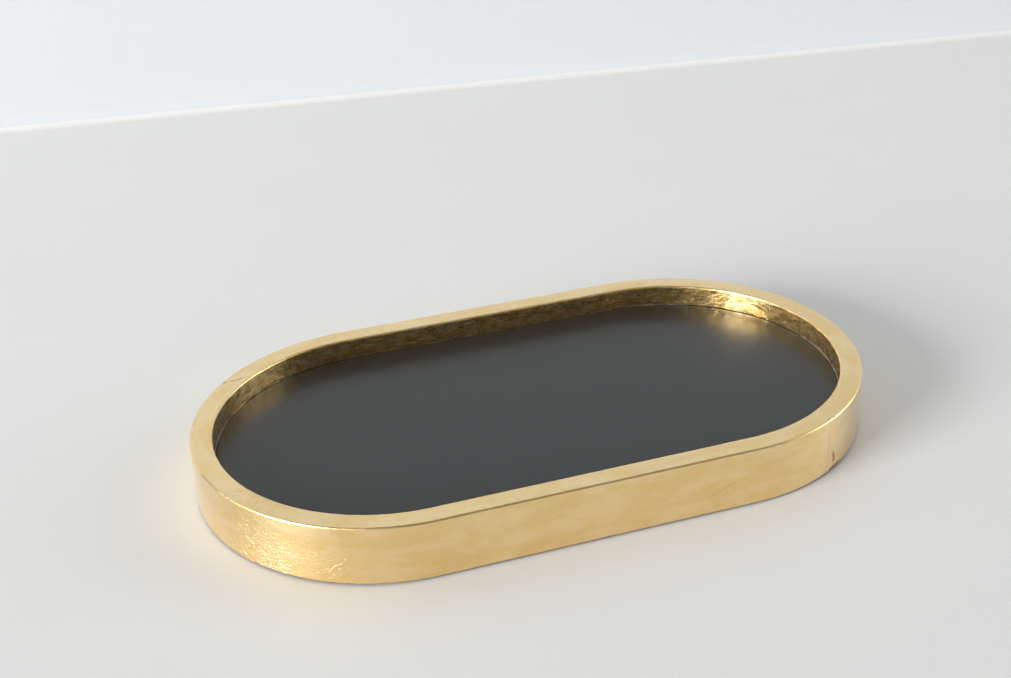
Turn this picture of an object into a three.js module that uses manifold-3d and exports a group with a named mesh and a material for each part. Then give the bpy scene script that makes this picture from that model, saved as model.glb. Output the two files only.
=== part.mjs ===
// Pill-shaped tray: a wooden rim gilded with brass leaf round a black lacquered panel.
//
// The rim is two straight rails and two half-round ends, doweled and glued where they meet.
// A rabbet runs round its inside, as in a picture frame. The lacquered panel is pushed up into
// it from below: its raised middle fills the rim, and the tongue round it lies under the rim's
// lip. A thick base board backs the panel. Sheets of leaf wrap the rim from its bottom outer
// edge, over the top and down past the panel. Four felt feet lift it off the table.
//
// Millimetres, +Z up, long axis along X, origin on the table under the middle of the tray.

import * as THREE from "three";
import { mergeVertices } from "three/addons/utils/BufferGeometryUtils.js";
import Module from "manifold-3d";

const wasm = await Module();
wasm.setup();

// Driving dimensions. Multiples of a quarter millimetre keep the faces that touch exactly flush.
const LENGTH = 254;
const WIDTH = 140;
const HEIGHT = 23;
const RIM_WALL = 8.25; // thickness seen from above
const RECESS_DEPTH = 8.75; // from the rim's top down to the panel
const FOOT_GAP = 0.75; // air under the rim
const LEAF = 0.25; // gesso, red bole, brass leaf and lacquer together
const ARRIS = 0.75; // rounding of the rim's two top edges
const RABBET = 3; // how far the rim's lip covers the panel's tongue
const FIT = 0.25; // clearance round the panel and the board
const PANEL_THICKNESS = 3;
const TONGUE_THICKNESS = 2;
const BOARD_THICKNESS = 9;

const DOWEL = { radius: 2, length: 16, gap: 0.3, sides: 20 };
const FOOT = { radius: 8, sides: 32, x: 75, y: 36 };
const ARC_STEPS = 36; // facets in each half-round end
const ARRIS_STEPS = 3;
const SPARE = 5; // how far a cutting shape reaches past what it cuts

// Where one sheet of leaf laps the next: distances along the rim's outer edge, anticlockwise
// from the front of the right-hand end. The short sheet at the front left is a patch.
const LEAF_LAPS = [33, 122, 211, 300, 394, 479, 525, 613];

// Worked out from those.
const OUTER = WIDTH / 2;
const STRAIGHT = LENGTH - WIDTH;
const CENTRE_X = STRAIGHT / 2; // the middle of each half-round end
const INNER = OUTER - RIM_WALL;
const WOOD_OUTER = OUTER - LEAF;
const WOOD_INNER = INNER + LEAF;
const WOOD_TOP = HEIGHT - LEAF;
const RABBET_RADIUS = WOOD_INNER + RABBET;
const PANEL_TOP = HEIGHT - RECESS_DEPTH;
const BOARD_TOP = PANEL_TOP - PANEL_THICKNESS;
const SHOULDER = BOARD_TOP + TONGUE_THICKNESS; // the rim's lip rests on the tongue here
const BOARD_BOTTOM = BOARD_TOP - BOARD_THICKNESS;

// Materials ------------------------------------------------------------------------------

const material = (color, roughness, metalness = 0) =>
  new THREE.MeshStandardMaterial({ color, roughness, metalness });
const brassLeaf = material(0xd9b878, 0.32, 1);
const bolePaintedWood = material(0x7a3c22, 0.7);
const blackLacquer = material(0x16171a, 0.28);
const blackPaintedBoard = material(0x1c1b1a, 0.75);
const beech = material(0xc79a6b, 0.7);
const felt = material(0x2a2522, 1);

// Joining and cutting --------------------------------------------------------------------

function toSolid(geometry) {
  const bare = geometry.index ? geometry.toNonIndexed() : geometry.clone();
  bare.deleteAttribute("normal");
  bare.deleteAttribute("uv");
  const merged = mergeVertices(bare, 1e-4);
  return new wasm.Manifold(
    new wasm.Mesh({
      numProp: 3,
      vertProperties: merged.attributes.position.array,
      triVerts: new Uint32Array(merged.index.array),
    }),
  );
}

function toGeometry(solid) {
  const mesh = solid.getMesh();
  const geometry = new THREE.BufferGeometry();
  geometry.setAttribute("position", new THREE.BufferAttribute(mesh.vertProperties, mesh.numProp));
  geometry.setIndex(new THREE.BufferAttribute(mesh.triVerts, 1));
  geometry.computeVertexNormals();
  return geometry;
}

// Outlines in plan -----------------------------------------------------------------------

function pillShape(radius) {
  const shape = new THREE.Shape();
  shape.moveTo(CENTRE_X, -radius);
  shape.absarc(CENTRE_X, 0, radius, -Math.PI / 2, Math.PI / 2, false);
  shape.lineTo(-CENTRE_X, radius);
  shape.absarc(-CENTRE_X, 0, radius, Math.PI / 2, (3 * Math.PI) / 2, false);
  shape.closePath();
  return shape;
}

function ringShape(outer, inner) {
  const shape = pillShape(outer);
  shape.holes.push(pillShape(inner));
  return shape;
}

function rectangleShape(left, right, front, back) {
  const corners = [[left, front], [right, front], [right, back], [left, back]];
  return new THREE.Shape(corners.map(([x, y]) => new THREE.Vector2(x, y)));
}

function prism(shape, bottom, top, extra = {}) {
  const settings = { depth: top - bottom, bevelEnabled: false, curveSegments: ARC_STEPS / 2 };
  return new THREE.ExtrudeGeometry(shape, { ...settings, ...extra }).translate(0, 0, bottom);
}

// The rim's ring with rounded top edges and a square foot.
function roundedRing(outer, inner, top, radius) {
  const rounding = { bevelEnabled: true, bevelThickness: radius, bevelSize: radius };
  const plan = ringShape(outer - radius, inner + radius);
  const ring = prism(plan, -SPARE, top - radius, { ...rounding, bevelSegments: ARRIS_STEPS });
  const below = prism(pillShape(outer + SPARE), -2 * SPARE, FOOT_GAP);
  return toSolid(ring).subtract(toSolid(below));
}

// The point at a distance along the rim's outer edge, moved outwards by a distance.
function alongRim(distance, outwards) {
  const arc = Math.PI * OUTER;
  const lap = 2 * (arc + STRAIGHT);
  const turned = ((distance % lap) + lap) % lap;
  const half = turned < lap / 2 ? 1 : -1; // the other half is this one turned round
  const here = half > 0 ? turned : turned - lap / 2;
  const radius = OUTER + outwards;
  if (here > arc) return new THREE.Vector2(half * (CENTRE_X - (here - arc)), half * radius);
  const angle = here / OUTER - Math.PI / 2;
  const x = CENTRE_X + radius * Math.cos(angle);
  return new THREE.Vector2(half * x, half * radius * Math.sin(angle));
}

// A strip in plan that covers the rim between two distances, wider than the rim itself.
function stretchShape(from, to) {
  const steps = Math.ceil((to - from) / 4);
  const stations = Array.from({ length: steps + 1 }, (_, i) => from + ((to - from) * i) / steps);
  const outside = stations.map((d) => alongRim(d, SPARE));
  const inside = stations.map((d) => alongRim(d, -RIM_WALL - SPARE)).reverse();
  return new THREE.Shape([...outside, ...inside]);
}

// Sub-parts ------------------------------------------------------------------------------

const tray = new THREE.Group();

function addPiece(name, geometry, finish) {
  const mesh = new THREE.Mesh(geometry, finish);
  mesh.name = name;
  tray.add(mesh);
  return mesh;
}

const WOOD_RING = roundedRing(WOOD_OUTER, WOOD_INNER, WOOD_TOP, ARRIS - LEAF);

const dowelSpots = [];
for (const [end, x] of [["left", -CENTRE_X], ["right", CENTRE_X]]) {
  for (const [side, y] of [["front", -1], ["back", 1]]) {
    const middle = (WOOD_OUTER + WOOD_INNER) / 2;
    dowelSpots.push({ name: `dowel_${side}_${end}`, x, y: y * middle });
  }
}
const DOWEL_Z = (WOOD_TOP + SHOULDER) / 2;

function dowelCylinder(radius, length) {
  const cylinder = new THREE.CylinderGeometry(radius, radius, length, DOWEL.sides);
  return cylinder.rotateZ(Math.PI / 2);
}

// The holes take the dowels with room for glue all round and at both ends.
function cutDowelHoles(solid) {
  return dowelSpots.reduce((cut, spot) => {
    const hole = dowelCylinder(DOWEL.radius + DOWEL.gap, DOWEL.length + 2 * DOWEL.gap);
    return cut.subtract(toSolid(hole.translate(spot.x, spot.y, DOWEL_Z)));
  }, solid);
}

// One ring, rabbeted underneath and cut across where the straights meet the half-rounds.
function buildRim() {
  const rabbet = toSolid(prism(pillShape(RABBET_RADIUS), -SPARE, SHOULDER));
  const blank = cutDowelHoles(WOOD_RING.subtract(rabbet));
  const [far, deep] = [LENGTH / 2 + SPARE, OUTER + SPARE];
  const plans = {
    rim_front_rail: rectangleShape(-CENTRE_X, CENTRE_X, -deep, 0),
    rim_back_rail: rectangleShape(-CENTRE_X, CENTRE_X, 0, deep),
    rim_left_end: rectangleShape(-far, -CENTRE_X, -deep, deep),
    rim_right_end: rectangleShape(CENTRE_X, far, -deep, deep),
  };
  for (const [name, plan] of Object.entries(plans)) {
    const keep = toSolid(prism(plan, -SPARE, HEIGHT + SPARE));
    addPiece(name, toGeometry(blank.intersect(keep)), bolePaintedWood);
  }
}

function buildDowels() {
  for (const spot of dowelSpots) {
    const dowel = addPiece(spot.name, dowelCylinder(DOWEL.radius, DOWEL.length), beech);
    dowel.position.set(spot.x, spot.y, DOWEL_Z);
  }
}

// A coat of even thickness over the wood, down past the panel inside, cut into its sheets.
function buildLeaf() {
  const covered = roundedRing(OUTER, INNER, HEIGHT, ARRIS).subtract(WOOD_RING);
  const belowLip = toSolid(prism(pillShape(WOOD_INNER + LEAF), -SPARE, SHOULDER));
  const coat = covered.subtract(belowLip);
  const fullLap = Math.PI * WIDTH + 2 * STRAIGHT;
  LEAF_LAPS.forEach((from, i) => {
    const to = i + 1 < LEAF_LAPS.length ? LEAF_LAPS[i + 1] : LEAF_LAPS[0] + fullLap;
    const stretch = toSolid(prism(stretchShape(from, to), -SPARE, HEIGHT + SPARE));
    addPiece(`brass_leaf_${i + 1}`, toGeometry(coat.intersect(stretch)), brassLeaf);
  });
}

function buildBase() {
  const outline = pillShape(RABBET_RADIUS - FIT);
  const tongue = toSolid(prism(outline, BOARD_TOP, SHOULDER));
  const raisedMiddle = toSolid(prism(pillShape(INNER - FIT), BOARD_TOP, PANEL_TOP));
  addPiece("lacquered_panel", toGeometry(tongue.add(raisedMiddle)), blackLacquer);
  addPiece("base_board", prism(outline, BOARD_BOTTOM, BOARD_TOP), blackPaintedBoard);
}

function buildFeet() {
  for (const [end, x] of [["left", -FOOT.x], ["right", FOOT.x]]) {
    for (const [side, y] of [["front", -FOOT.y], ["back", FOOT.y]]) {
      const pad = new THREE.CylinderGeometry(FOOT.radius, FOOT.radius, BOARD_BOTTOM, FOOT.sides);
      const foot = addPiece(`felt_foot_${side}_${end}`, pad.rotateX(Math.PI / 2), felt);
      foot.position.set(x, y, BOARD_BOTTOM / 2);
    }
  }
}

buildRim();
buildDowels();
buildLeaf();
buildBase();
buildFeet();

export default tray;
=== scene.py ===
"""The looks of a pill-shaped tray: a wooden rim gilded with brass leaf round a black lacquered
panel, on felt feet. Metres, +Z up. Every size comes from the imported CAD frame."""

import math

import bpy
import numpy as np
from mathutils import Matrix, Vector


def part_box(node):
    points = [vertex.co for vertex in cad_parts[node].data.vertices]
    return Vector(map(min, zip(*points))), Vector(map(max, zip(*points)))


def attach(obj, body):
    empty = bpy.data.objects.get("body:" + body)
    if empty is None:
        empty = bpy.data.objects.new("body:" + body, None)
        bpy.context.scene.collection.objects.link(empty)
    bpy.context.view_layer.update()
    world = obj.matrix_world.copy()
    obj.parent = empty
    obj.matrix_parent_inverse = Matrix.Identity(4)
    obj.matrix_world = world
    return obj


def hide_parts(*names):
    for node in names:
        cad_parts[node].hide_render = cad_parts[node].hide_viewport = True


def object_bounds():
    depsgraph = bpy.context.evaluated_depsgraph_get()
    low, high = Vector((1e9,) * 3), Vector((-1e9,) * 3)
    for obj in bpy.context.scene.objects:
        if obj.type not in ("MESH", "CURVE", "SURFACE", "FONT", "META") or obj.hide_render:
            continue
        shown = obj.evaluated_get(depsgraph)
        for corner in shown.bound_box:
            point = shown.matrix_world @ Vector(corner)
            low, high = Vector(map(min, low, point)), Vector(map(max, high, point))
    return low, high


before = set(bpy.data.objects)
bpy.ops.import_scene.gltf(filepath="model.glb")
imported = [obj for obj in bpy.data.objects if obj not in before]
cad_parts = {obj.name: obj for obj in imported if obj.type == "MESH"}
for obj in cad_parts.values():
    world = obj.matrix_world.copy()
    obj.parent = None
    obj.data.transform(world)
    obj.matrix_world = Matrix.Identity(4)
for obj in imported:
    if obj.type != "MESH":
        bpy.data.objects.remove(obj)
CAD_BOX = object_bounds()
MM = 0.001

# ---------------------------------------------------------------- sizes, read from the frame

LOW, HIGH = (Vector(corner) for corner in CAD_BOX)
OUTER = (HIGH.y - LOW.y) / 2  # outer radius of the half-round ends
CENTRE_X = (HIGH.x - LOW.x) / 2 - OUTER  # where their middles are
RIM_TOP = HIGH.z
WOOD_OUTER = -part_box("rim_front_rail")[0].y
WOOD_INNER = -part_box("rim_front_rail")[1].y
COAT = OUTER - WOOD_OUTER  # room for the leaf over the wood
INNER = WOOD_INNER - COAT
RIM_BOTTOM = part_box("rim_front_rail")[0].z
PANEL_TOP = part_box("lacquered_panel")[1].z
PANEL_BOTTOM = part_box("lacquered_panel")[0].z
BOARD_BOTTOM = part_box("base_board")[0].z
TONGUE_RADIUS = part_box("base_board")[1].y
ARC = math.pi * OUTER
LAP = 2 * (ARC + 2 * CENTRE_X)  # once round the rim's outer edge

# ---------------------------------------------------------------- sizes that only the looks have

RELIEF = 0.10 * MM  # how far folds may stand up from the leaf's mean surface
SINK = 0.04 * MM  # and how far it may sink
LEAF_THICKNESS = 0.06 * MM
ARRIS = 0.75 * MM
FOOT_ROUND = 0.45 * MM
TAIL = 0.5 * MM  # the torn strip of leaf at the wall's foot
TAIL_BEND = 0.1 * MM
STROKE_DEPTH = 0.13 * MM  # of the brush strokes under the leaf, on the inner wall
OVERLAP = 3.0 * MM  # each sheet runs this far under the next
LAP_STEP = 0.05 * MM
FINE = 0.24 * MM  # mesh spacing where the leaf is wrinkled
FINEST = 0.12 * MM  # and round its edges
COARSE = 1.1 * MM
WRINKLED = 15 * MM  # how far from a lap the wrinkles reach
FOOT_RAGGED = 0.5 * MM  # how unevenly the leaf stops under the rim's foot
LAP_RAGGED = 1.2 * MM  # and along a lap
BARE_DEPTH = 0.03 * MM  # how far the surface drops where the leaf is gone
FUR = 0.25 * MM  # how far the felt's cut edge is ragged
CAP_RING = 2 * MM  # a ring this far inside a flat face's edge keeps its shading even

# Places on the rim are (along, across) in millimetres. Along is the distance round its outer
# edge, anticlockwise from the front of the right-hand end. Across runs over its section: up the
# outer side from 0 to 22, across the top to 30, and down the inner wall to 38.

# Where each sheet of leaf starts, and how many folds run off that lap. It is most crumpled at
# the front left, where a short sheet patches the rim.
LAPS = [(33, 30), (122, 22), (211, 26), (300, 14), (394, 16), (479, 90), (525, 50), (613, 16)]
SHEETS = len(LAPS)

# Single folds and scratches: start, end, sideways bow, width, height, and how dark it looks. That
# dark is painted shade in the folds, and the scratches' own dark mark.
CREASES = [
    ((396.5, 21.5), (391.0, 24.2), 0.5, 0.46, -0.04, 1.0),  # across the top, back left
    ((391.6, 23.9), (386.0, 27.6), -0.7, 0.46, -0.04, 0.95),
    ((455.0, 22.4), (475.0, 22.2), 0.1, 0.36, -0.03, 0.80),  # along the edge, front left
    ((474.6, 25.2), (478.8, 28.0), 0.3, 0.28, -0.02, 0.45),
    ((476.5, 24.4), (480.5, 26.2), -0.3, 0.25, -0.02, 0.35),
    ((647.5, 6.8), (659.5, 11.6), -0.4, 0.28, -0.04, 0.30),  # front side, right
    ((641.0, 6.0), (650.0, 7.4), 0.3, 0.25, -0.03, 0.15),
    ((516.0, 2.6), (523.5, 8.5), 1.6, 0.40, 0.09, 0),  # a curl of leaf at the front left
    ((477.0, 20.4), (481.5, 12.5), 1.0, 0.35, 0.045, 0),
    ((480.5, 20.9), (489.0, 13.0), -1.0, 0.35, 0.04, 0),
    ((183.5, 32.2), (175.0, 36.6), 0.8, 0.40, 0.045, 0),  # inner wall, back right
    ((186.5, 31.8), (179.0, 35.0), 0.6, 0.40, 0.045, 0),
]

# Where the torn strip at the wall's foot lies out over the panel: middle, reach, strength.
LIPS = [(98, 22, 0.9), (197, 8, 0.35), (400, 32, 0.9)]

# Crumpled patches: where along the rim, how far each way, and how strongly.
CRUMPLED = [(490, 20, 0.8), (520, 16, 0.6), (39, 8, 0.4), (181, 7, 0.35), (398, 5, 0.4)]

# Spots where the leaf is gone and the red bole shows: place and size.
BARE_SPOTS = [
    ((38.5, 0.5), (4.2, 1.2)),
    ((37.2, 4.6), (0.8, 1.6)),
    ((36.4, 6.6), (0.6, 1.4)),
    ((33.2, 23.0), (0.9, 0.35)),
    ((35.4, 22.4), (0.4, 0.25)),
    ((475.6, 22.3), (0.5, 0.25)),
    ((478.0, 22.0), (0.35, 0.25)),
]

# ---------------------------------------------------------------- camera

CAMERA_AT = Vector((0.0142, 0.0782, RIM_BOTTOM))  # the point of the table in mid-picture
CAMERA_DISTANCE = 0.6139
CAMERA_AZIMUTH = math.radians(17.44)  # it looks along +Y, turned this far towards +X
CAMERA_DOWN = math.radians(28.09)
CAMERA_ROLL = math.radians(-2.307)
CAMERA_LENS = 51.15  # millimetres, for a sensor 36 wide


def make_camera():
    flat = Vector((math.sin(CAMERA_AZIMUTH), math.cos(CAMERA_AZIMUTH), 0))
    forward = flat * math.cos(CAMERA_DOWN) - Vector((0, 0, math.sin(CAMERA_DOWN)))
    level = forward.cross(Vector((0, 0, 1))).normalized()
    upright = level.cross(forward)
    right = level * math.cos(CAMERA_ROLL) + upright * math.sin(CAMERA_ROLL)
    up = upright * math.cos(CAMERA_ROLL) - level * math.sin(CAMERA_ROLL)
    camera = bpy.data.objects.new("camera", bpy.data.cameras.new("camera"))
    camera.matrix_world = Matrix(
        (
            (right.x, up.x, -forward.x, 0),
            (right.y, up.y, -forward.y, 0),
            (right.z, up.z, -forward.z, 0),
            (0, 0, 0, 1),
        )
    )
    camera.location = CAMERA_AT - forward * CAMERA_DISTANCE
    camera.data.lens = CAMERA_LENS
    camera.data.sensor_width = 36
    camera.data.clip_start = 0.01
    camera.data.clip_end = 20
    bpy.context.scene.collection.objects.link(camera)
    bpy.context.scene.camera = camera


make_camera()

# ---------------------------------------------------------------- node helpers


class Nodes:
    """Builds one material's node tree in short calls."""

    def __init__(self, name):
        self.material = bpy.data.materials.new(name)
        self.material.use_nodes = True
        self.tree = self.material.node_tree
        self.tree.nodes.clear()
        self.shader = self.add("BsdfPrincipled")
        output = self.add("OutputMaterial")
        self.tree.links.new(self.shader.outputs[0], output.inputs[0])

    def add(self, kind, **settings):
        node = self.tree.nodes.new("ShaderNode" + kind)
        for name, value in settings.items():
            setattr(node, name, value)
        return node

    def feed(self, socket, value):
        if isinstance(value, bpy.types.NodeSocket):
            self.tree.links.new(value, socket)
        else:
            socket.default_value = value

    def shade(self, **values):
        for name, value in values.items():
            self.feed(self.shader.inputs[name.replace("_", " ").title()], value)

    def place(self, scale=(1, 1, 1), turn=(0, 0, 0), uv=False):
        """Coordinates in the row frame, in metres, or along and across the rim, in metres."""
        source = self.add("TexCoord").outputs["Object"]
        if uv:
            source = self.add("UVMap", uv_map="rim").outputs[0]
        mapping = self.add("Mapping")
        self.feed(mapping.inputs["Vector"], source)
        mapping.inputs["Scale"].default_value = scale
        mapping.inputs["Rotation"].default_value = turn
        return mapping.outputs[0]

    def noise(self, where, size, detail=3, rough=0.55, twist=0.0, out="Fac"):
        node = self.add("TexNoise")
        self.feed(node.inputs["Vector"], where)
        node.inputs["Scale"].default_value = 1 / size
        node.inputs["Detail"].default_value = detail
        node.inputs["Roughness"].default_value = rough
        node.inputs["Distortion"].default_value = twist
        return node.outputs[out]

    def cells(self, where, size, feature="F1", out="Distance"):
        node = self.add("TexVoronoi", feature=feature)
        self.feed(node.inputs["Vector"], where)
        node.inputs["Scale"].default_value = 1 / size
        return node.outputs[out]

    def math(self, operation, a, b=0.0, clamp=False):
        node = self.add("Math", operation=operation, use_clamp=clamp)
        self.feed(node.inputs[0], a)
        self.feed(node.inputs[1], b)
        return node.outputs[0]

    def ramp(self, value, low, high, start=0.0, end=1.0):
        """value from low to high becomes start to end, smoothly, and stays there beyond."""
        node = self.add("MapRange", interpolation_type="SMOOTHSTEP")
        self.feed(node.inputs["Value"], value)
        limits = {"From Min": low, "From Max": high, "To Min": start, "To Max": end}
        for name, number in limits.items():
            self.feed(node.inputs[name], number)
        return node.outputs[0]

    def mix(self, factor, a, b):
        node = self.add("Mix", data_type="RGBA")
        self.feed(node.inputs[0], factor)
        self.feed(node.inputs[6], (*a, 1) if isinstance(a, tuple) else a)
        self.feed(node.inputs[7], (*b, 1) if isinstance(b, tuple) else b)
        return node.outputs[2]

    def blend(self, factor, a, b):
        node = self.add("Mix", data_type="FLOAT")
        self.feed(node.inputs[0], factor)
        self.feed(node.inputs[2], a)
        self.feed(node.inputs[3], b)
        return node.outputs[0]

    def attribute(self, name):
        return self.add("Attribute", attribute_name=name).outputs["Fac"]

    def bump(self, height, depth, under=None):
        """Relief of that depth in metres, where height runs from 0 to 1."""
        node = self.add("Bump")
        node.inputs["Strength"].default_value = 1
        node.inputs["Distance"].default_value = depth
        self.feed(node.inputs["Height"], height)
        if under is not None:
            self.feed(node.inputs["Normal"], under)
        return node.outputs[0]


# ---------------------------------------------------------------- materials


def make_brass_leaf():
    """Brass leaf under satin lacquer: crumpled finely, brushed down lengthwise, mottled, with
    painted shade on its inner wall, in its creases and on the torn strip at the wall's foot.
    """
    n = Nodes("brass_leaf")
    here = n.place()
    along = n.place(uv=True)
    drawn_out = n.place(scale=(0.35, 1, 1), uv=True)
    brushed = n.place(scale=(0.09, 1, 1), turn=(0, 0, 0.06), uv=True)
    cloud = n.noise(drawn_out, 7 * MM, detail=4, rough=0.55, twist=0.4)
    blotch = n.noise(here, 2.6 * MM, detail=4, rough=0.6, twist=0.8)
    tilted = n.place(scale=(0.7, 1, 1), turn=(0, 0, 0.3), uv=True)
    dapple = n.noise(tilted, 3.6 * MM, detail=3, rough=0.5)
    stroke = n.noise(brushed, 0.42 * MM, detail=1, rough=0.5)
    grain = n.noise(along, 0.3 * MM, detail=2, rough=0.6)
    inside = n.attribute("inside")
    tone = n.mix(n.ramp(cloud, 0.34, 0.66), (0.87, 0.61, 0.245), (0.93, 0.70, 0.355))
    tone = n.mix(n.ramp(blotch, 0.56, 0.78, 0, 0.4), tone, (0.81, 0.55, 0.195))
    tone = n.mix(n.ramp(stroke, 0.52, 0.75, 0, 0.3), tone, (0.95, 0.745, 0.41))
    # Painted shade: the inner wall is drawn a darker brown all over, and more so in blotches, for
    # the shade and dark reflections inside the rim.
    painted_inner_shade = n.math("MULTIPLY", inside, n.ramp(dapple, 0.42, 0.62, 0.15, 0.8))
    tone = n.mix(painted_inner_shade, tone, (0.66, 0.40, 0.10))
    rub = n.noise(here, 1.3 * MM, detail=5, rough=0.7)
    worn = n.math("MULTIPLY", n.attribute("edge"), n.ramp(rub, 0.75, 0.79, 0, 0.6))
    rubbed = n.math("MAXIMUM", worn, n.attribute("bare"))
    # Painted shade: the creases are drawn darker, along with the scratches' own dark marks.
    tone = n.mix(n.attribute("dark"), tone, (0.25, 0.13, 0.04))
    tone = n.mix(rubbed, tone, (0.36, 0.16, 0.065))
    # Painted shade on the torn strip at the wall's foot: near black where it hangs down, a dull
    # grey-beige where it lies out over the panel.
    lip = n.mix(n.attribute("lip"), (0.03, 0.027, 0.024), (0.22, 0.20, 0.165))
    tone = n.mix(n.attribute("torn_strip_painted_shade"), tone, lip)
    dull = n.math("MAXIMUM", rubbed, n.attribute("torn_strip_painted_shade"))
    rough_outside = n.ramp(blotch, 0.3, 0.7, 0.21, 0.26)
    rough_inside = n.ramp(blotch, 0.3, 0.7, 0.26, 0.31)
    rough = n.blend(inside, rough_outside, rough_inside)
    rough = n.math("ADD", rough, n.math("MULTIPLY", dull, 0.25))
    rough = n.math("ADD", rough, n.math("MULTIPLY", n.attribute("edge"), 0.08))
    metal = n.math("SUBTRACT", 1.0, n.math("MULTIPLY", dull, 0.9))
    normal = n.bump(cloud, 0.12 * MM)
    normal = n.bump(n.math("MULTIPLY", dapple, n.blend(inside, 0.16, 1.0)), 0.34 * MM, normal)
    normal = n.bump(n.math("MULTIPLY", stroke, n.blend(inside, 0.42, 1.0)), STROKE_DEPTH, normal)
    slanted = n.place(scale=(0.6, 1, 1), turn=(0, 0, 0.6), uv=True)
    vein = n.noise(slanted, 1.2 * MM, detail=2, twist=1.2)
    vein = n.math("ABSOLUTE", n.math("SUBTRACT", vein, 0.5))
    crumple = n.math("MULTIPLY", n.ramp(vein, 0.0, 0.09, 1, 0), n.attribute("crumpled"))
    normal = n.bump(crumple, 0.046 * MM, normal)
    normal = n.bump(grain, 0.004 * MM, normal)
    n.shade(base_color=tone, roughness=rough, metallic=metal, normal=normal)
    n.shade(coat_weight=n.math("SUBTRACT", 0.9, n.math("MULTIPLY", dull, 0.8)))
    n.shader.inputs["Coat Roughness"].default_value = 0.22
    n.shader.inputs["Coat IOR"].default_value = 1.5
    return n.material


def make_bole_wood():
    """Red-brown bole brushed over gesso on the wood, scuffed through here and there."""
    n = Nodes("bole_wood")
    brushed = n.place(scale=(1, 1, 0.2))
    here = n.place()
    streak = n.noise(brushed, 0.8 * MM, detail=4, rough=0.65)
    patch = n.noise(here, 5 * MM, detail=5, rough=0.6, twist=0.5)
    tone = n.mix(n.ramp(patch, 0.35, 0.65), (0.135, 0.035, 0.016), (0.21, 0.058, 0.024))
    tone = n.mix(n.ramp(streak, 0.6, 0.8, 0, 0.5), tone, (0.28, 0.10, 0.045))
    tone = n.mix(n.ramp(patch, 0.70, 0.76, 0, 0.8), tone, (0.55, 0.42, 0.28))
    n.shade(base_color=tone, roughness=n.ramp(streak, 0.3, 0.7, 0.55, 0.8))
    n.shade(normal=n.bump(streak, 0.05 * MM, n.bump(patch, 0.08 * MM)))
    return n.material


def make_beech():
    """Bare beech with short brown flecks along the grain."""
    n = Nodes("beech")
    grain = n.noise(n.place(scale=(0.08, 1, 1)), 0.5 * MM, detail=4, rough=0.6)
    fleck = n.cells(n.place(scale=(0.3, 1, 1)), 0.9 * MM)
    tone = n.mix(n.ramp(grain, 0.35, 0.7), (0.50, 0.28, 0.13), (0.64, 0.40, 0.21))
    tone = n.mix(n.ramp(fleck, 0.12, 0.25, 0.6, 0), tone, (0.30, 0.14, 0.06))
    n.shade(base_color=tone, roughness=n.ramp(grain, 0.3, 0.7, 0.55, 0.75))
    n.shade(normal=n.bump(grain, 0.05 * MM))
    return n.material


def make_black_lacquer():
    """Satin black lacquer: very fine orange peel, a little uneven, with a few specks of dust."""
    n = Nodes("black_lacquer")
    here = n.place()
    peel = n.noise(here, 0.5 * MM, detail=2, rough=0.5)
    haze = n.noise(here, 45 * MM, detail=2, rough=0.4)
    grain = n.noise(here, 0.25 * MM, detail=1, rough=0.5)
    dust = n.cells(here, 24 * MM)
    speck = n.ramp(dust, 0.006, 0.010, 1, 0)
    tone = n.mix(n.ramp(haze, 0.3, 0.7), (0.0135, 0.0150, 0.0160), (0.0155, 0.0170, 0.0180))
    tone = n.mix(n.ramp(grain, 0.45, 0.75, 0, 0.25), tone, (0.022, 0.023, 0.024))
    tone = n.mix(speck, tone, (0.30, 0.29, 0.27))
    rough = n.ramp(haze, 0.3, 0.7, 0.29, 0.32)
    n.shade(base_color=tone, roughness=n.math("ADD", rough, n.math("MULTIPLY", speck, 0.4)))
    n.shade(normal=n.bump(peel, 0.0012 * MM))
    return n.material


def make_board():
    """Fibreboard rolled with thin black paint, brown where the fibres show through."""
    n = Nodes("painted_board")
    here = n.place()
    fibre = n.noise(here, 0.7 * MM, detail=5, rough=0.7)
    patch = n.noise(here, 18 * MM, detail=4, rough=0.6, twist=0.4)
    tone = n.mix(n.ramp(patch, 0.35, 0.7), (0.010, 0.0095, 0.009), (0.020, 0.017, 0.014))
    tone = n.mix(n.ramp(fibre, 0.66, 0.8, 0, 0.6), tone, (0.09, 0.055, 0.03))
    n.shade(base_color=tone, roughness=n.ramp(fibre, 0.3, 0.7, 0.6, 0.85))
    n.shade(normal=n.bump(fibre, 0.08 * MM, n.bump(patch, 0.1 * MM)))
    return n.material


def make_felt():
    """Pressed felt: short curled fibres with paler lint."""
    n = Nodes("felt")
    here = n.place()
    curl = n.noise(here, 0.35 * MM, detail=6, rough=0.75, twist=2.5)
    lint = n.noise(n.place(scale=(1, 0.15, 1), turn=(0, 0, 0.7)), 0.2 * MM, detail=3, twist=3)
    tone = n.mix(n.ramp(curl, 0.35, 0.7), (0.012, 0.010, 0.009), (0.045, 0.037, 0.033))
    tone = n.mix(n.ramp(lint, 0.68, 0.78, 0, 0.6), tone, (0.16, 0.14, 0.13))
    n.shade(base_color=tone, roughness=n.ramp(curl, 0.3, 0.7, 0.85, 1.0))
    n.shade(normal=n.bump(curl, 0.18 * MM))
    n.shader.inputs["Sheen Weight"].default_value = 0.35
    return n.material


BRASS_LEAF = make_brass_leaf()
BOLE_WOOD = make_bole_wood()
BEECH = make_beech()
BLACK_LACQUER = make_black_lacquer()
PAINTED_BOARD = make_board()
FELT = make_felt()

# ---------------------------------------------------------------- meshes in code


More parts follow.
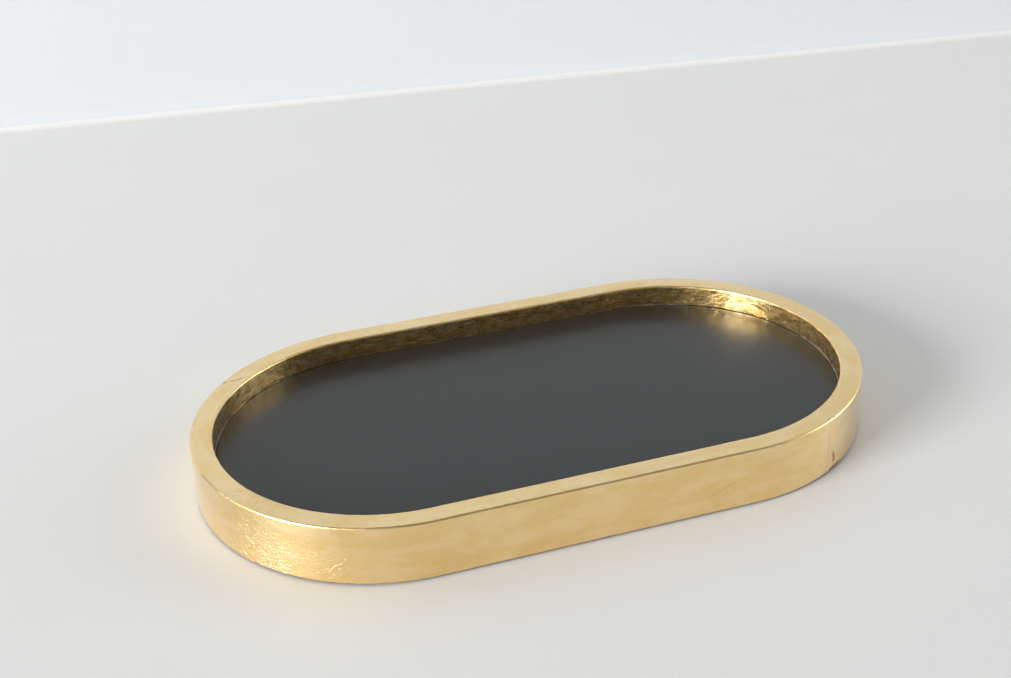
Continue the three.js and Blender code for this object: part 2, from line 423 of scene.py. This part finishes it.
def make_mesh(name, points, faces, material, uvs=None, flat=0):
    """uvs holds one pair for each point. The last faces are flat and sharp-edged, as many as flat
    says."""
    mesh = bpy.data.meshes.new(name)
    mesh.from_pydata([tuple(p) for p in points], [], [tuple(f) for f in faces])
    rounded_faces = len(mesh.polygons) - flat
    mesh.polygons.foreach_set("use_smooth", [True] * rounded_faces + [False] * flat)
    if flat:
        edges = np.empty(len(mesh.loops), np.int32)
        mesh.loops.foreach_get("edge_index", edges)
        sharp = np.zeros(len(mesh.edges), bool)
        sharp[edges[mesh.polygons[rounded_faces].loop_start :]] = True
        mesh.edges.foreach_set("use_edge_sharp", sharp)
    if uvs is not None:
        corners = np.empty(len(mesh.loops), np.int32)
        mesh.loops.foreach_get("vertex_index", corners)
        layer = mesh.uv_layers.new(name="rim")
        layer.data.foreach_set("uv", np.asarray(uvs, np.float32)[corners].ravel())
    mesh.materials.append(material)
    mesh.update()
    piece = bpy.data.objects.new(name, mesh)
    bpy.context.scene.collection.objects.link(piece)
    return piece


def finish_piece(piece, slot, *nodes):
    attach(piece, "root")
    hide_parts(*nodes)


def grid_faces(rows, columns, start=0, flip=False, wrap=False):
    """Quads over rows of points; with wrap the last row joins the first."""
    a = np.arange(rows * columns).reshape(rows, columns) + start
    if wrap:
        a = np.vstack([a, a[:1]])
    quads = np.stack([a[:-1, :-1], a[1:, :-1], a[1:, 1:], a[:-1, 1:]], -1).reshape(-1, 4)
    return quads[:, ::-1] if flip else quads


# ---------------------------------------------------------------- smooth noise for relief


class Ripples:
    """Smooth seeded noise over two lengths, made of interpolated lattices of random values."""

    def __init__(self, seed):
        self.random = np.random.default_rng(seed)
        self.table = self.random.uniform(-1, 1, (256, 256))

    def layer(self, u, v, size_u, size_v, shift):
        x, y = u / size_u + shift, v / size_v + 2 * shift
        i, j = np.floor(x).astype(int), np.floor(y).astype(int)
        fx, fy = x - i, y - j
        fx, fy = fx * fx * (3 - 2 * fx), fy * fy * (3 - 2 * fy)
        t = self.table
        near = t[i % 256, j % 256] * (1 - fx) + t[(i + 1) % 256, j % 256] * fx
        far = t[i % 256, (j + 1) % 256] * (1 - fx) + t[(i + 1) % 256, (j + 1) % 256] * fx
        return near * (1 - fy) + far * fy

    def sum(self, u, v, size_u, size_v, octaves=3, fade=0.5):
        total = sum(
            fade**k * self.layer(u, v, size_u / 2**k, size_v / 2**k, 17.3 * (k + 1))
            for k in range(octaves)
        )
        return total / sum(fade**k for k in range(octaves))


# ---------------------------------------------------------------- the rim's surface


def smooth(x):
    x = np.clip(x, 0, 1)
    return x * x * (3 - 2 * x)


def rim_frame(along):
    """For distances round the rim's outer edge, anticlockwise from the front of the right end:
    the points of the middle line of the pill, and the unit directions outwards."""
    turned = np.mod(along, LAP)
    second = turned >= LAP / 2
    here = np.where(second, turned - LAP / 2, turned)
    angle = np.minimum(here / OUTER, math.pi) - math.pi / 2
    centre_x = np.where(here > ARC, CENTRE_X - (here - ARC), CENTRE_X)
    sign = np.where(second, -1.0, 1.0)
    middle = np.stack([sign * centre_x, np.zeros_like(centre_x)], -1)
    outwards = np.stack([sign * np.cos(angle), sign * np.sin(angle)], -1)
    return middle, outwards


class Profile:
    """The rim's section from under its outer foot, up, over the top and down the inner wall,
    made of straight lines and arcs. A distance along it gives a radius and a height, and the
    angle of the normal there, from straight outwards towards straight up."""

    def __init__(self):
        outer, inner, top = OUTER - RELIEF, INNER + RELIEF, RIM_TOP - RELIEF
        foot = RIM_BOTTOM + FOOT_ROUND
        self.stretches = [
            self.arc((outer - FOOT_ROUND, foot), FOOT_ROUND, -90, 0),
            self.line((outer, foot), (outer, top - ARRIS), 0),
            self.arc((outer - ARRIS, top - ARRIS), ARRIS, 0, 90),
            self.line((outer - ARRIS, top), (inner + ARRIS, top), 90),
            self.arc((inner + ARRIS, top - ARRIS), ARRIS, 90, 180),
            self.line((inner, top - ARRIS), (inner, TAIL_TOP), 180),
        ]
        lengths = [length for length, _ in self.stretches]
        self.starts = np.concatenate([[0.0], np.cumsum(lengths)])
        self.total = self.starts[-1] + TAIL

    @staticmethod
    def line(start, end, normal):
        def at(t):
            x = start[0] + t * (end[0] - start[0])
            z = start[1] + t * (end[1] - start[1])
            return x, z, np.full_like(t, math.radians(normal))

        return math.dist(start, end), at

    @staticmethod
    def arc(centre, radius, start, end):
        def at(t):
            turn = np.radians(start + t * (end - start))
            return centre[0] + radius * np.cos(turn), centre[1] + radius * np.sin(turn), turn

        return radius * math.radians(abs(end - start)), at

    def at(self, distances, flare):
        """flare turns the torn strip at the end from straight down, 0, to over the panel, 1."""
        radius, height = np.empty_like(distances), np.empty_like(distances)
        normal = np.empty_like(distances)
        for (length, at), start in zip(self.stretches, self.starts):
            here = (distances >= start) & (distances <= start + length + 1e-9)
            values = at(np.clip((distances[here] - start) / length, 0, 1))
            radius[here], height[here], normal[here] = values
        past = np.clip(distances - self.starts[-1], 0, None)
        turn = np.minimum(past / TAIL_BEND, math.pi / 2)
        onward = np.maximum(past - TAIL_BEND * math.pi / 2, 0)
        outwards = TAIL_BEND * (1 - np.cos(turn)) + onward
        downwards = TAIL_BEND * np.sin(turn)
        tail = past > 0
        inner = INNER + RELIEF
        radius = np.where(tail, inner - flare * outwards, radius)
        height = np.where(tail, TAIL_TOP - past + flare * (past - downwards), height)
        normal = np.where(tail, math.pi - flare * turn, normal)
        return radius, height, normal

    def middle(self, stretch):
        return (self.starts[stretch] + self.starts[stretch + 1]) / 2

    def rows(self):
        """Distances along the section, closer together where it bends or is torn."""
        tight = [self.middle(0), self.middle(2), self.middle(4), self.total - TAIL / 2]
        places = [0.0]
        while places[-1] < self.total - FINEST:
            gap = min(abs(places[-1] - t) for t in tight) - 0.7 * MM
            places.append(places[-1] + min(FINE, FINEST + 0.3 * max(gap, 0)))
        places[-1] = self.total
        return np.array(places)


TAIL_TOP = PANEL_TOP + TAIL_BEND + LEAF_THICKNESS + 0.04 * MM
SECTION = Profile()
SIDE_TOP = SECTION.starts[2]  # the outer side ends here
WALL_FOOT = SECTION.starts[6]  # and the inner wall here

# ---------------------------------------------------------------- leaf


RIPPLES = Ripples(11)


def torn(distance, seed, size=7 * MM):
    """A ragged line's wander, about -1 to 1, at distances along it."""
    nil = np.full_like(distance, 3 * MM * seed)
    return RIPPLES.sum(distance, nil, size, MM, 5, 0.6)


def ridge(u, v, start, heading, length, bow, width):
    """A curved ridge or scratch from 0 to 1, steeper on one side, that fades at its ends."""
    du, dv = u - start[0], v - start[1]
    ahead = du * math.cos(heading) + dv * math.sin(heading)
    aside = dv * math.cos(heading) - du * math.sin(heading)
    aside = aside - bow * 4 * ahead * (length - ahead) / length**2
    along = smooth(ahead / (0.25 * length)) * smooth((length - ahead) / (0.25 * length))
    steep = np.where(aside > 0, width * 0.5, width)
    return along * np.exp(-((aside / steep) ** 2))


def fold_field(u, v, lap, seed, amount):
    """Thin folds that run off a lap."""
    random = np.random.default_rng(seed)
    relief = np.zeros_like(u)
    for _ in range(amount):
        reach = random.normal(0, 6.0) * MM
        low = random.random() < 0.8
        across = SIDE_TOP * random.power(0.7) if low else random.uniform(SIDE_TOP, WALL_FOOT)
        heading = random.normal(-0.6, 0.5) + (math.pi / 2 if random.random() < 0.25 else 0)
        length = random.uniform(1.5, 7) * MM
        bow = random.normal(0, 0.08) * length
        width = random.uniform(0.16, 0.36) * MM
        height = random.uniform(0.02, 0.08) * MM * math.exp(-abs(reach) / (14 * MM))
        relief += height * ridge(u, v, (lap + reach, across), heading, length, bow, width)
    return relief


def crease_fields(u, v):
    """The single creases' relief, and how dark they are: painted shade in the folds, and the
    scratches' own dark.
    """
    relief, dark = np.zeros_like(u), np.zeros_like(u)
    for start, end, bow, width, height, darkness in CREASES:
        along, across = end[0] - start[0], end[1] - start[1]
        length, heading = math.hypot(along, across) * MM, math.atan2(across, along)
        corner = (start[0] * MM, start[1] * MM)
        line = ridge(u, v, corner, heading, length, bow * MM, width * MM)
        relief += height * MM * line
        dark = np.maximum(dark, darkness * line)
    return relief, dark


def bare_field(u, v):
    """1 where the leaf is gone, with ragged edges."""
    bare = np.zeros_like(u)
    ragged = RIPPLES.sum(u, v, 0.8 * MM, 0.8 * MM, 3, 0.7)
    for (along, across), (width, height) in BARE_SPOTS:
        far = np.hypot((u - along * MM) / (width * MM), (v - across * MM) / (height * MM))
        bare = np.maximum(bare, smooth((1.15 - far + 0.8 * ragged) / 0.3))
    return bare


def flare_at(u):
    """How far the torn strip at the wall's foot turns out over the panel, and how much of its
    width is left."""
    out = np.zeros_like(u)
    for along, reach, strength in LIPS:
        away = np.abs(away_from(along, u))
        out = np.maximum(out, strength * smooth(1.5 - away / (reach * MM)))
    patchy = out * smooth(0.9 + 1.3 * torn(u, 3, 9 * MM))
    ragged = smooth(0.75 + 1.5 * torn(u, 2, 2.5 * MM))
    return patchy, patchy * ragged


def crumpled_field(u, v):
    """How crumpled the leaf is. On the outer side it is most so near the foot."""
    crumpled = np.zeros_like(u)
    for along, reach, strength in CRUMPLED:
        fading = np.exp(-((away_from(along, u) / (reach * MM)) ** 2))
        crumpled = np.maximum(crumpled, strength * fading)
    high_up = smooth(v / SIDE_TOP) - smooth((v - SIDE_TOP) / (2 * MM))
    return crumpled * (1 - 0.5 * high_up)


def away_from(along, u):
    """How far u is from a place along the rim given in millimetres, the short way round."""
    return np.mod(u - along * MM + LAP / 2, LAP) - LAP / 2


def columns_between(start, end):
    """Distances round the rim, closely spaced near the laps at both ends."""
    places = [start]
    while places[-1] < end + OVERLAP:
        gap = min(abs(places[-1] - start), abs(places[-1] - end))
        spacing = FINE if gap < WRINKLED else min(COARSE, FINE + (gap - WRINKLED) * 0.15)
        places.append(places[-1] + spacing)
    return np.array(places)


def make_sheet(number):
    """One sheet of leaf: a thin closed skin, wrinkled near its ends, torn at its edges."""
    start, folds = LAPS[number][0] * MM, LAPS[number][1]
    following = LAPS[(number + 1) % SHEETS]
    end = following[0] * MM + (LAP if number + 1 == SHEETS else 0)
    columns = columns_between(start, end)
    u, v = np.meshgrid(columns, SECTION.rows(), indexing="ij")
    # its outer edge stops at uneven heights under the foot, its inner edge at the panel
    lowest = FOOT_RAGGED * np.abs(torn(u, 1, 5 * MM))
    flare, reach = flare_at(u)
    tail = np.clip((v - SECTION.starts[-1]) / TAIL, 0, 1)
    v = v + lowest * (1 - smooth(v / (1.5 * MM))) - tail * TAIL * 0.75 * flare * (1 - reach)
    # it starts with a torn edge over the sheet before it, and ends under the next
    wander = LAP_RAGGED * torn(v, 10 + number)
    u = u + wander * (1 - smooth((u - start) / (6 * MM)))
    tucked = smooth((u - (end - 4 * MM)) / (1.5 * MM))
    past_start = columns[:, None] - start
    at_tear = 1 - smooth(past_start / MM)
    thin = 1 - 0.6 * (1 - smooth((past_start - OVERLAP) / MM)) - 0.35 * at_tear
    radius, height, angle = SECTION.at(v, flare)
    relief = 0.030 * MM * RIPPLES.sum(u, v, 16 * MM, 9 * MM, 3)
    relief += 0.014 * MM * RIPPLES.sum(u, v, 3.4 * MM, 2.4 * MM, 3)
    relief += fold_field(u, v, start, 500 + number, folds)
    relief += fold_field(u, v, end, 500 + (number + 1) % SHEETS, following[1])
    creased, dark = crease_fields(np.mod(u, LAP), v)
    bare = bare_field(np.mod(u, LAP), v)
    relief = np.clip(relief + creased - BARE_DEPTH * bare, -SINK, 0.9 * RELIEF)
    relief = relief - LAP_STEP * tucked - LEAF_THICKNESS * 0.5 * at_tear
    relief = relief * (1 - 0.8 * smooth(tail / 0.2))
    crumpled = crumpled_field(u, v)
    middle, outwards = rim_frame(u)
    skins = []
    for depth in (0.0, LEAF_THICKNESS * thin):
        out = radius + (relief - depth) * np.cos(angle)
        z = height + (relief - depth) * np.sin(angle)
        plan = middle + outwards * out[..., None]
        skins.append(np.concatenate([plan, z[..., None]], -1).reshape(-1, 3))
    count = u.size
    index = np.arange(count).reshape(u.shape)
    faces = [grid_faces(*u.shape), grid_faces(*u.shape, start=count, flip=True)]
    border = np.concatenate([index[0], index[1:, -1], index[-1, -2::-1], index[-2:0:-1, 0]])
    onward = np.roll(border, -1)
    faces.append(np.stack([onward, border, border + count, onward + count], -1))
    uvs = np.tile(np.stack([u.ravel(), v.ravel()], -1), (2, 1))
    name = f"leaf_sheet_{number + 1}"
    points = np.concatenate(skins)
    piece = make_mesh(name, points, np.concatenate(faces), BRASS_LEAF, uvs, flat=len(border))
    arrises = (SECTION.middle(2), SECTION.middle(4))
    painted = {
        "edge": sum(np.exp(-(((v - a) / (0.6 * MM)) ** 2)) for a in arrises),
        "bare": bare,
        # painted shade in the creases, and the scratches' own dark
        "dark": dark,
        "crumpled": crumpled,
        "inside": smooth((v - SECTION.starts[4]) / (1.5 * MM)),
        # where shade is painted on the torn strip at the wall's foot
        "torn_strip_painted_shade": smooth(tail / 0.2),
        "lip": flare,
    }
    for field, values in painted.items():
        attribute = piece.data.attributes.new(field, "FLOAT", "POINT")
        attribute.data.foreach_set("value", np.tile(values.ravel(), 2).astype(np.float32))
    finish_piece(piece, "brass_leaf", f"brass_leaf_{number + 1}")


for sheet_number in range(SHEETS):
    make_sheet(sheet_number)

# ---------------------------------------------------------------- solids of the pill's outline


def pill_rows(profile, steps=72):
    """Rings of points round the pill, one for each (radius, height)."""
    ends = np.linspace(0, math.pi, steps + 1) - math.pi / 2
    angles = np.concatenate([ends, ends + math.pi])
    centres = np.where(np.arange(len(angles)) <= steps, CENTRE_X, -CENTRE_X)
    rings = [
        np.stack([centres + r * np.cos(angles), r * np.sin(angles), np.full_like(angles, z)], -1)
        for r, z in profile
    ]
    return np.stack(rings, 1)


def closed_rings(name, points, material):
    """A closed solid from an array of points: round it, up it, and their x, y and z."""
    count, rows = points.shape[:2]
    faces = [tuple(f) for f in grid_faces(count, rows, wrap=True)]
    index = np.arange(count * rows).reshape(count, rows)
    faces.append(tuple(index[::-1, 0]))
    faces.append(tuple(index[:, -1]))
    return make_mesh(name, points.reshape(-1, 3), faces, material)


def make_pill(name, profile, material):
    """A closed solid of pill outline. profile runs from its underside up over its edge."""
    (under, low), (over, high) = profile[0], profile[-1]
    profile = [(under - CAP_RING, low), *profile, (over - CAP_RING, high)]
    return closed_rings(name, pill_rows(profile), material)


ROUNDING = 5  # points in a rounded corner


def rounded(radius, low, high, edge):
    """The outline of a board's edge, from its underside to its top, with rounded corners."""
    turns = np.radians(np.linspace(0, 90, ROUNDING))
    under = [(radius - edge + edge * math.sin(t), low + edge - edge * math.cos(t)) for t in turns]
    over = [(radius - edge + edge * math.cos(t), high - edge + edge * math.sin(t)) for t in turns]
    return under + over


def make_panel():
    """A tongue that lies under the rim's lip, and a raised middle that fills the rim."""
    shoulder = PANEL_TOP - 1.0 * MM
    middle = INNER - COAT
    tongue = rounded(TONGUE_RADIUS, PANEL_BOTTOM, shoulder, 0.15 * MM)
    raised = [(middle, shoulder), *rounded(middle, shoulder, PANEL_TOP, 0.3 * MM)[ROUNDING:]]
    piece = make_pill("lacquered_panel_top", tongue + raised, BLACK_LACQUER)
    finish_piece(piece, "black_lacquer", "lacquered_panel")


def make_base():
    outline = rounded(TONGUE_RADIUS, BOARD_BOTTOM, PANEL_BOTTOM, 0.4 * MM)
    piece = make_pill("backing_board", outline, PAINTED_BOARD)
    finish_piece(piece, "board", "base_board")


make_panel()
make_base()

# ---------------------------------------------------------------- feet


def make_foot(number, node):
    """A die-cut felt disc: its cut edge is furry and its corners are soft."""
    low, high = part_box(node)
    centre = (low + high) / 2
    radius = (high.x - low.x) / 2
    fuzz = Ripples(40 + number)
    # shares of the radius and of the height
    rings = [(0.4, 0), (0.75, 0), (0.93, 0.02), (1.0, 0.16), (1.0, 0.5)]
    rings += [(1.0, 0.84), (0.93, 0.98), (0.75, 1), (0.4, 1)]
    around = np.linspace(0, 2 * math.pi, 96, endpoint=False)
    points = []
    for share, level in rings:
        height = np.full_like(around, level * 3 * MM)
        fur = FUR * fuzz.sum(around * radius, height, 0.9 * MM, MM, 3)
        reach = radius * share - (FUR - fur if share > 0.9 else 0)
        x, y = centre.x + reach * np.cos(around), centre.y + reach * np.sin(around)
        z = np.full_like(around, low.z + (high.z - low.z) * level)
        points.append(np.stack([x, y, z], -1))
    piece = closed_rings(f"felt_pad_{number}", np.stack(points, 1), FELT)
    finish_piece(piece, "felt", node)


FEET = [f"felt_foot_{side}_{end}" for end in ("left", "right") for side in ("front", "back")]
for foot_number, foot_node in enumerate(FEET, 1):
    make_foot(foot_number, foot_node)

# ---------------------------------------------------------------- CAD pieces that stay


def repaint(node, material):
    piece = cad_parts[node]
    piece.data.materials.clear()
    piece.data.materials.append(material)


for rim_node in ("rim_front_rail", "rim_back_rail", "rim_left_end", "rim_right_end"):
    repaint(rim_node, BOLE_WOOD)
for dowel_node in [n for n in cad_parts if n.startswith("dowel_")]:
    repaint(dowel_node, BEECH)

# ---------------------------------------------------------------- table, wall and light


def plain_material(name, color, roughness):
    n = Nodes(name)
    mottle = n.noise(n.place(), 0.09, detail=4, rough=0.5)
    darker = tuple(c * 0.97 for c in color)
    n.shade(base_color=n.mix(mottle, darker, color), roughness=roughness)
    return n.material


WALL_AT = Vector((0.127, 0.414))  # a point on the foot of the wall behind the tray
WALL_TURN = math.radians(-7.2)
COVE = 0.008
STAGE_REACH = 3.0
WALL_HEIGHT = 1.6
WALL_RIGHT = 1.2  # the wall stops here, so that it clears the light from the right


def make_stage():
    """A pale table top and a wall behind it, with a small cove between them."""
    across = Vector((math.cos(WALL_TURN), math.sin(WALL_TURN)))
    back = Vector((-math.sin(WALL_TURN), math.cos(WALL_TURN)))
    turns = np.linspace(0, math.pi / 2, 13)
    curve = [(COVE * (math.sin(t) - 1), COVE * (1 - math.cos(t))) for t in turns]
    table = plain_material("table", (0.765, 0.765, 0.75), 0.5)
    wall = plain_material("wall", (0.635, 0.66, 0.675), 0.8)
    parts = [
        ("stage_table", [(-STAGE_REACH, 0.0), *curve[:7]], STAGE_REACH, table),
        ("stage_wall", [*curve[6:], (0.0, WALL_HEIGHT)], WALL_RIGHT, wall),
    ]
    for name, profile, right_end, material in parts:
        points = []
        for side in (-STAGE_REACH, right_end):
            for depth, z in profile:
                p = WALL_AT + across * side + back * depth
                points.append((p.x, p.y, z))
        n = len(profile)
        strips = [(i, i + n, i + n + 1, i + 1) for i in range(n - 1)]
        make_mesh(name, points, strips, material)


def towards(azimuth, elevation):
    a, e = math.radians(azimuth), math.radians(elevation)
    return Vector((math.cos(a) * math.cos(e), math.sin(a) * math.cos(e), math.sin(e)))


SOFTBOX_DISTANCE = 8.0


def softbox(name, azimuth, elevation, width, height, luminance):
    """A plain soft light that faces the tray. Its place and its size are in degrees."""
    data = bpy.data.lights.new(name, "AREA")
    data.shape = "RECTANGLE"
    data.size = 2 * SOFTBOX_DISTANCE * math.tan(math.radians(width) / 2)
    data.size_y = 2 * SOFTBOX_DISTANCE * math.tan(math.radians(height) / 2)
    data.energy = luminance * math.pi * data.size * data.size_y
    light = bpy.data.objects.new(name, data)
    light.location = towards(azimuth, elevation) * SOFTBOX_DISTANCE
    light.rotation_euler = (-light.location).to_track_quat("-Z", "Y").to_euler()
    bpy.context.scene.collection.objects.link(light)


def make_world(luminance):
    world = bpy.data.worlds.new("world")
    world.use_nodes = True
    world.node_tree.nodes["Background"].inputs[0].default_value = (*[luminance] * 3, 1)
    bpy.context.scene.world = world


make_stage()
softbox("window", -162, 14, 25, 22, 28)
softbox("front_left_fill", -138, 17, 30, 33, 1.0)
softbox("right_fill", -9, 19, 38, 37, 3.1)
make_world(0.25)
bpy.context.scene.view_settings.view_transform = "Standard"
